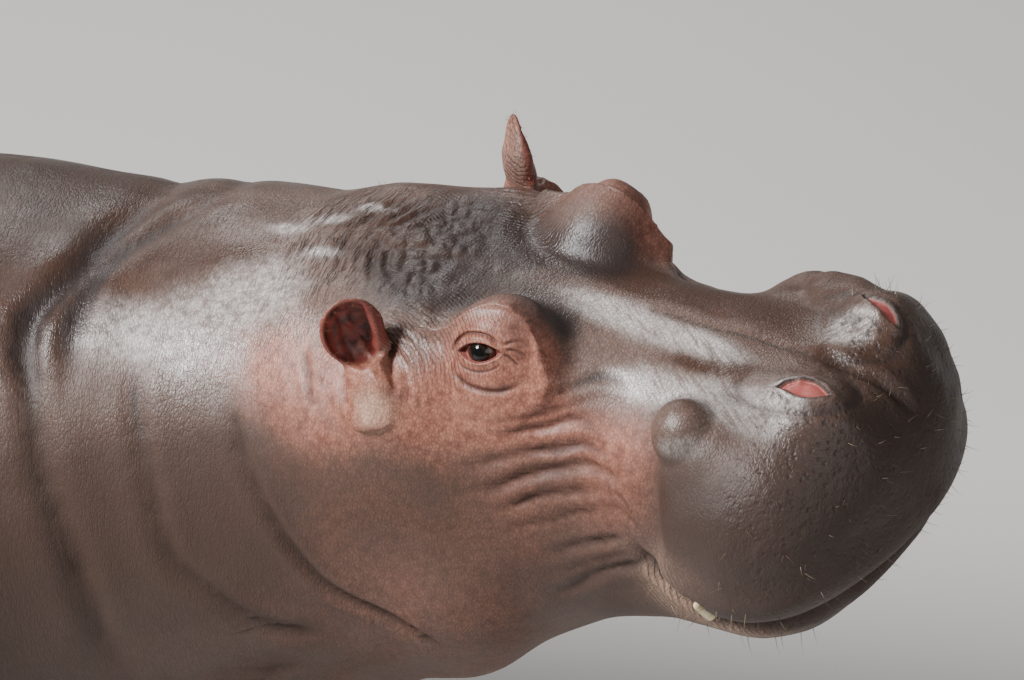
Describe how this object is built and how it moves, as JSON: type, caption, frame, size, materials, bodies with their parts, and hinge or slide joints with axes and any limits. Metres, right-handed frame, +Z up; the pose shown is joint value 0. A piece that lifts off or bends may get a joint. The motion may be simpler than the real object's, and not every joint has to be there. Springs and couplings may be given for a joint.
{
  "type": "hippopotamus",
  "caption": "Life-size still model of an adult common hippopotamus standing on four feet, head level with its back and turned slightly right, mouth closed",
  "frame": {"origin": "on the floor, under the middle of the animal's box", "axes": "+X runs along the body towards the head, +Y to the animal's left, +Z up"},
  "size_m": [3.1252, 1.084, 1.3461],
  "materials": {
    "hide": "satin",
    "eye": "gloss",
    "nail": "matte",
    "tooth": "satin",
    "bristle": "matte"
  },
  "bodies": {
    "root": {"ear_left": "hide", "ear_right": "hide", "eye_left": "eye", "eye_right": "eye", "head": "hide", "jaw": "hide", "leg_fore_left": "hide", "leg_fore_right": "hide", "leg_hind_left": "hide", "leg_hind_right": "hide", "nail_fore_left_1": "nail", "nail_fore_left_2": "nail", "nail_fore_left_3": "nail", "nail_fore_left_4": "nail", "nail_fore_right_1": "nail", "nail_fore_right_2": "nail", "nail_fore_right_3": "nail", "nail_fore_right_4": "nail", "nail_hind_left_1": "nail", "nail_hind_left_2": "nail", "nail_hind_left_3": "nail", "nail_hind_left_4": "nail", "nail_hind_right_1": "nail", "nail_hind_right_2": "nail", "nail_hind_right_3": "nail", "nail_hind_right_4": "nail", "neck": "hide", "tail": "hide", "trunk": "hide", "tusk_left": "tooth", "tusk_right": "tooth"}
  },
  "joints": []
}
